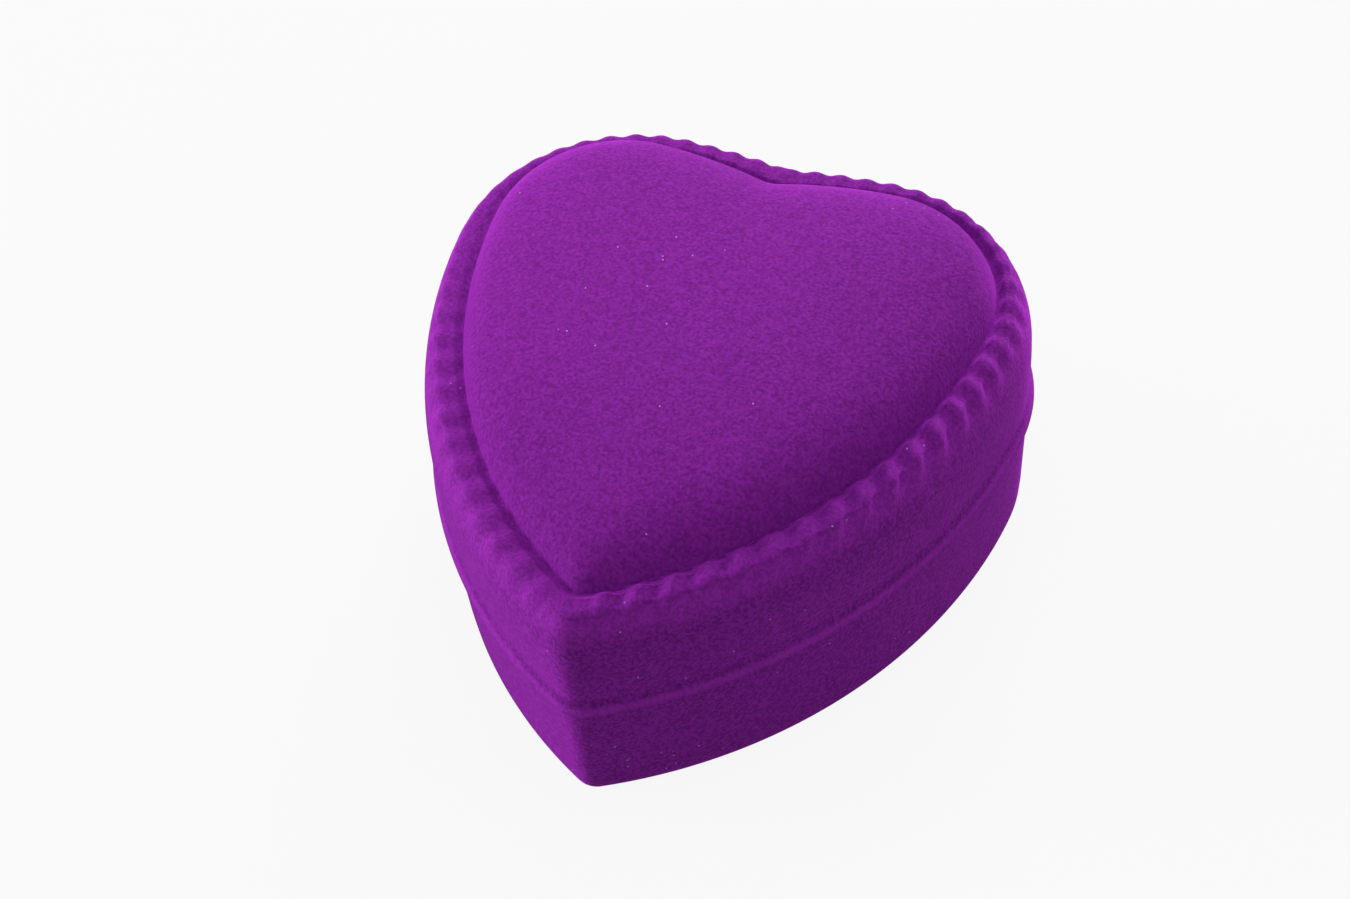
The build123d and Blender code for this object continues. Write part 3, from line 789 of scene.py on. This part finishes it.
def fusedPad(name, sources, shrink):
    # Copies the CAD solids of a pad, enlarges them about their middle and fuses them into one soft skin.
    work = bmesh.new()
    for source in sources:
        work.from_mesh(nodes[source].data)
    bmesh.ops.remove_doubles(work, verts=work.verts, dist=cushions["merge"])
    mesh = bpy.data.meshes.new(name)
    work.to_mesh(mesh)
    work.free()
    places = pointsOf(mesh)
    middle = (places.min(axis=0) + places.max(axis=0)) / 2
    setPoints(mesh, (places - middle) * (shrink, shrink, 1.0) * cushions["scale"])
    holder = bpy.data.objects.new(name + "Holder", mesh)
    scene.collection.objects.link(holder)
    remesh = holder.modifiers.new("fuse", "REMESH")
    remesh.mode = "VOXEL"
    remesh.voxel_size = cushions["voxel"]
    relax = holder.modifiers.new("relax", "SMOOTH")
    relax.factor = cushions["relaxFactor"]
    relax.iterations = cushions["relaxRounds"]
    fused = evaluated(holder)
    holder.modifiers.clear()
    holder.data = fused
    return holder, middle


def pressed(holder, held, v):
    # Lets pressure fill the cover and gives the shift of each point, eased to a cap.
    start = pointsOf(holder.data)
    group = holder.vertex_groups.new(name="held")
    group.add(np.nonzero(held)[0].tolist(), 1.0, "REPLACE")
    cloth = holder.modifiers.new("cover", "CLOTH")
    cover = cloth.settings
    cover.quality = cushions["quality"]
    cover.use_pressure = True
    cover.uniform_pressure_force = cushions["pressure"]
    cover.vertex_group_mass = "held"
    cover.shrink_min = v["looseness"]
    cover.effector_weights.gravity = 0.0
    cloth.point_cache.frame_start = 1
    cloth.point_cache.frame_end = cushions["frames"]
    for step in range(1, cushions["frames"] + 1):
        scene.frame_set(step)
    shift = pointsOf(evaluated(holder)) - start
    holder.modifiers.clear()
    scene.frame_set(1)
    length = np.linalg.norm(shift, axis=1)
    cap = v["cap"] * cushions["scale"]
    return shift * (cap * np.tanh(length / cap) / np.maximum(length, cushions["leastShift"]))[:, None]


def swelled(name, sources, v, hold):
    holder, middle = fusedPad(name, sources, v["shrink"])
    places = pointsOf(holder.data)
    places = places + pressed(holder, hold(places / cushions["scale"] + middle), v)
    setPoints(holder.data, places / cushions["scale"] + middle)
    finer = holder.modifiers.new("finer", "SUBSURF")
    finer.levels = 1
    finer.render_levels = 1
    done = evaluated(holder)
    bpy.data.objects.remove(holder)
    done.name = name
    return cleaned(done, pi)


def bottomHeld(places):
    return places[:, 2] < ringPads["holdBelow"]


def topHeld(places):
    return places[:, 2] > lidPad["holdAbove"]


for label in ("front", "rear"):
    parts = [label + "_pad_cover", label + "_pad_foam"]
    padMesh = swelled(label + "RingPad", parts, ringPads, bottomHeld)
    pad = newPiece(label + "RingPad", padMesh, velvetFinish, "base", parts)
    print("pad:", pad.name, len(pad.data.polygons), "faces")
lidParts = ["lid_pad_satin", "lid_pad_wadding"]
satinMesh = swelled("lidSatinPad", lidParts, lidPad, topHeld)
satinPad = newPiece("lidSatinPad", satinMesh, ivorySatin, "lid", lidParts)
print("pad:", satinPad.name, len(satinPad.data.polygons), "faces")


# CAD nodes that keep their shape

keptFinishes = dict(pad_board=greyBoard, lid_pad_board=greyBoard, base_hinge_leaf=zincSteel,
                    lid_hinge_leaf=zincSteel, hinge_pin=zincSteel, base_hinge_rivets=rivetSteel,
                    lid_hinge_rivets=rivetSteel)
for name, finish in keptFinishes.items():
    nodes[name].data.materials.clear()
    nodes[name].data.materials.append(finish)
print("hinge and boards: finished")


# Floor, light and camera

studio = dict(floorHalf=3.0, floorColour=linear(180, 180, 180), floorGlow=0.91, skyStrength=0.35,
              white=(1.0, 1.0, 1.0, 1.0), aim=(0.0, 0.0, 0.015), lampSize=0.3)
lamps = dict(leftLamp=((-0.52, -0.12, 0.16), 2.55), topLamp=((0.0, 0.05, 0.56), 0.80),
             rearLamp=((0.0, 0.50, 0.20), 2.2), rightLamp=((0.50, 0.10, 0.20), 0.25))
view = dict(azimuth=25.59, elevation=49.14, roll=-6.236, distance=0.2999, lens=85.96, sensor=36.0,
            clipStart=0.01, target=(-0.002257, 0.001259, 0.0135))


def seenDirectly(wire):
    # 1 for what the camera sees straight, mirrored or through glass, and 0 for what only lights the object.
    rays = [wire.node("ShaderNodeLightPath", {}, {}, name)
            for name in ("Is Camera Ray", "Is Glossy Ray", "Is Transmission Ray")]
    return wire.math("MINIMUM", rays[0] + rays[1] + rays[2], 1.0)


def makeFloor(v):
    half = v["floorHalf"]
    corners = [(-half, -half, 0), (half, -half, 0), (half, half, 0), (-half, half, 0)]
    mesh = meshFrom("floor", corners, [(0, 1, 2, 3)])
    floor = bpy.data.objects.new("floor", mesh)
    scene.collection.objects.link(floor)
    finish = bpy.data.materials.new("paleFloor")
    finish.use_nodes = True
    tree = finish.node_tree
    tree.nodes.clear()
    wire = Wire(tree)
    matt = wire.node("ShaderNodeBsdfDiffuse", {}, {"Color": v["floorColour"]})
    glow = wire.node("ShaderNodeEmission", {}, {"Color": v["white"], "Strength": 1.0})
    both = wire.node("ShaderNodeMixShader", {}, {0: seenDirectly(wire) * v["floorGlow"], 1: matt, 2: glow})
    out = tree.nodes.new("ShaderNodeOutputMaterial")
    tree.links.new(both.socket, out.inputs["Surface"])
    mesh.materials.append(finish)


def makeLamp(name, place, power, v):
    lamp = bpy.data.lights.new(name, "AREA")
    lamp.shape = "DISK"
    lamp.size = v["lampSize"]
    lamp.energy = power
    holder = bpy.data.objects.new(name, lamp)
    scene.collection.objects.link(holder)
    holder.location = place
    holder.rotation_mode = "QUATERNION"
    holder.rotation_quaternion = (Vector(v["aim"]) - Vector(place)).to_track_quat("-Z", "Y")


def makeSky(v):
    sky = bpy.data.worlds.new("sky")
    scene.world = sky
    sky.use_nodes = True
    tree = sky.node_tree
    tree.nodes.clear()
    wire = Wire(tree)
    strength = v["skyStrength"] + seenDirectly(wire) * (1 - v["skyStrength"])
    glow = wire.node("ShaderNodeBackground", {}, {"Color": v["white"], "Strength": strength})
    out = tree.nodes.new("ShaderNodeOutputWorld")
    tree.links.new(glow.socket, out.inputs["Surface"])


def makeCamera(v):
    azimuth, elevation, roll = (radians(v[key]) for key in ("azimuth", "elevation", "roll"))
    back = Vector((sin(azimuth) * cos(elevation), -cos(azimuth) * cos(elevation), sin(elevation)))
    right = Vector((cos(azimuth), sin(azimuth), 0))
    up = back.cross(right)
    right, up = right * cos(roll) + up * sin(roll), up * cos(roll) - right * sin(roll)
    eye = bpy.data.cameras.new("photoCamera")
    eye.sensor_fit = "HORIZONTAL"
    eye.sensor_width = v["sensor"]
    eye.lens = v["lens"]
    eye.clip_start = v["clipStart"]
    holder = bpy.data.objects.new("photoCamera", eye)
    scene.collection.objects.link(holder)
    turned = Matrix((right, up, back)).transposed().to_4x4()
    holder.matrix_world = Matrix.Translation(Vector(v["target"]) + back * v["distance"]) @ turned
    scene.camera = holder


makeFloor(studio)
makeSky(studio)
for name, (place, power) in lamps.items():
    makeLamp(name, place, power, studio)
makeCamera(view)
scene.view_settings.view_transform = "Standard"
print("stage: floor, light and camera")
